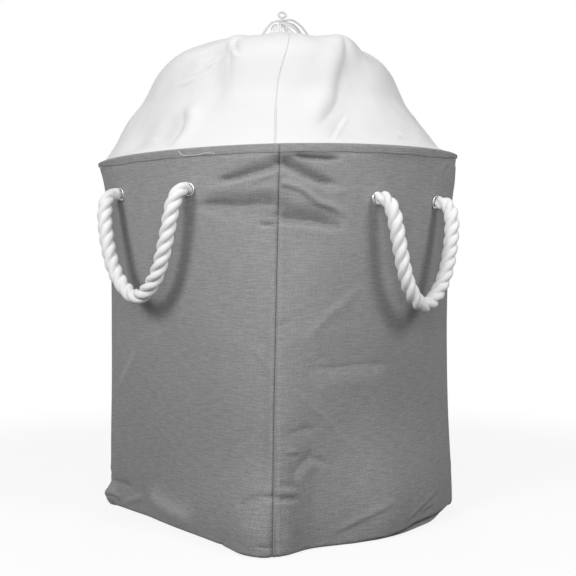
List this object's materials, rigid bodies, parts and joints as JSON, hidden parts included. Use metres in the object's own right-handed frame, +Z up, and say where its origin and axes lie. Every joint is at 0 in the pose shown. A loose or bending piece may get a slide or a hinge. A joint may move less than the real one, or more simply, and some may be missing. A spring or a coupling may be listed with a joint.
{
  "type": "pop up laundry hamper",
  "caption": "Soft square-based laundry hamper: canvas walls hung from a sprung hoop in the rim, rope handles through metal eyelets, and a white drawstring collar pulled shut into a dome.",
  "frame": {"origin": "on the floor, under the middle of the base", "axes": "+Z up; the two faces seen in the picture are the front (-Y) and the right (+X); the corner towards the camera is at +X -Y"},
  "size_m": [0.5088, 0.5092, 0.7049],
  "materials": {
    "canvas": "matt grey linen-look woven cloth",
    "collar_cloth": "matt white close-woven coated cloth",
    "rope": "matt white three-strand twisted cotton rope",
    "drawstring": "matt pale braided cord",
    "eyelet_metal": "polished plated steel",
    "hoop_wire": "satin spring steel",
    "board": "matt pressed board"
  },
  "bodies": {
    "base": {"bottom_panel": "canvas", "base_board": "board", "front_panel": "canvas", "right_panel": "canvas", "back_panel": "canvas", "left_panel": "canvas", "corner_tape_back_right": "canvas", "corner_tape_back_left": "canvas", "corner_tape_front_left": "canvas", "corner_tape_front_right": "canvas"},
    "rim": {"hem_front": "canvas", "hem_right": "canvas", "hem_back": "canvas", "hem_left": "canvas", "rim_hoop": "hoop_wire", "collar_front": "collar_cloth", "collar_right": "collar_cloth", "collar_back": "collar_cloth", "collar_left": "collar_cloth", "collar_casing": "collar_cloth", "drawstring_in_channel": "drawstring", "drawstring_knot": "drawstring", "drawstring_lead": "drawstring", "drawstring_top_loop": "drawstring", "drawstring_bow": "drawstring", "drawstring_tail_right": "drawstring", "drawstring_tail_left": "drawstring", "tail_knot_right": "drawstring", "tail_knot_left": "drawstring", "eyelet_front_1": "eyelet_metal", "eyelet_front_2": "eyelet_metal", "eyelet_right_1": "eyelet_metal", "eyelet_right_2": "eyelet_metal", "eyelet_back_1": "eyelet_metal", "eyelet_back_2": "eyelet_metal", "eyelet_left_1": "eyelet_metal", "eyelet_left_2": "eyelet_metal", "washer_front_1": "eyelet_metal", "washer_front_2": "eyelet_metal", "washer_right_1": "eyelet_metal", "washer_right_2": "eyelet_metal", "washer_back_1": "eyelet_metal", "washer_back_2": "eyelet_metal", "washer_left_1": "eyelet_metal", "washer_left_2": "eyelet_metal", "rope_end_front_1": "rope", "rope_end_front_2": "rope", "rope_end_right_1": "rope", "rope_end_right_2": "rope", "rope_end_back_1": "rope", "rope_end_back_2": "rope", "rope_end_left_1": "rope", "rope_end_left_2": "rope"},
    "handle_front": {"handle_front": "rope"},
    "handle_right": {"handle_right": "rope"},
    "handle_back": {"handle_back": "rope"},
    "handle_left": {"handle_left": "rope"}
  },
  "joints": [
    {"name": "rim_collapse", "type": "slide", "parent": "base", "child": "rim", "axis": [0, 0, -1], "range_m": [0, 0.26], "deforming": ["front_panel", "right_panel", "back_panel", "left_panel", "corner_tape_back_right", "corner_tape_back_left", "corner_tape_front_left", "corner_tape_front_right"]},
    {"name": "handle_front_swing", "type": "hinge", "parent": "rim", "child": "handle_front", "pos_m": [-0.01931, -0.22554, 0.43746], "axis": [-0.9987, -0.05, -0.0115], "range_deg": [0, 130]},
    {"name": "handle_right_swing", "type": "hinge", "parent": "rim", "child": "handle_right", "pos_m": [0.22629, 0.02294, 0.42636], "axis": [-0.034, -0.9994, 0.0111], "range_deg": [0, 130]},
    {"name": "handle_back_swing", "type": "hinge", "parent": "rim", "child": "handle_back", "pos_m": [0.02119, 0.22595, 0.43239], "axis": [0.999, 0.0424, -0.0111], "range_deg": [0, 130]},
    {"name": "handle_left_swing", "type": "hinge", "parent": "rim", "child": "handle_left", "pos_m": [-0.22595, -0.02119, 0.43239], "axis": [0.0424, 0.999, 0.0111], "range_deg": [0, 130]}
  ]
}
